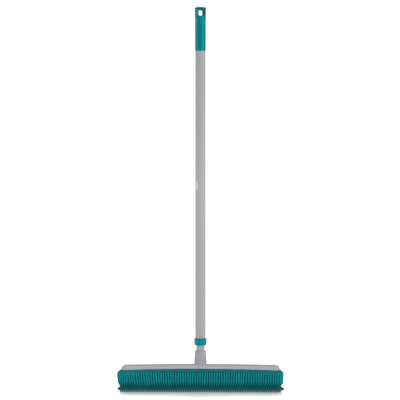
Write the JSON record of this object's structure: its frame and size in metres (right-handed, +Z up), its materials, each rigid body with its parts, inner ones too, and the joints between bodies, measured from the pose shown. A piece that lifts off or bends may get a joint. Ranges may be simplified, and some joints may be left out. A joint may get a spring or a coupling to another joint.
{
  "type": "carpet sweeper",
  "caption": "Rubber-bristle carpet sweeper: long low head with bristles and a squeegee lip, on a twist-lock telescopic handle with a hanging eye",
  "frame": {"origin": "on the floor under the handle's axis, at the centre of the head's footprint", "axes": "+X along the head, -Y towards the head's front, +Z up along the handle"},
  "size_m": [0.3848, 0.062, 0.8756],
  "materials": {
    "teal_plastic": "satin",
    "teal_rubber": "matt",
    "grey_plastic": "satin",
    "grey_paint": "satin powder coat",
    "nylon": "satin",
    "zinc": "zinc plated"
  },
  "bodies": {
    "head": {"rubber_pad": "teal_rubber", "carrier_plate": "grey_plastic", "head_shell": "grey_plastic", "carrier_screw_1": "zinc", "carrier_screw_2": "zinc", "carrier_screw_3": "zinc", "carrier_screw_4": "zinc", "carrier_screw_5": "zinc", "carrier_screw_6": "zinc", "screw_tip": "grey_plastic", "inner_tube": "grey_paint", "lock_core": "nylon"},
    "cam": {"lock_cam": "nylon"},
    "ring": {"guide_ring": "nylon"},
    "handle": {"outer_tube": "grey_paint", "lock_collar": "teal_plastic", "hand_grip": "teal_plastic"}
  },
  "joints": [
    {"name": "handle_twist", "type": "hinge", "parent": "head", "child": "ring", "pos_m": [0, 0, 0.8215], "axis": [0, 0, 1], "range_deg": [-55, 55]},
    {"name": "lock_cam_turn", "type": "hinge", "parent": "head", "child": "cam", "pos_m": [0.001, 0, 0.8338], "axis": [0, 0, 1], "range_deg": [-55, 55]},
    {"name": "handle_extend", "type": "slide", "parent": "ring", "child": "handle", "axis": [0, 0, 1], "range_m": [0, 0.65]}
  ],
  "couplings": [
    {"joint": "lock_cam_turn", "follows": "handle_twist", "ratio": 1}
  ]
}
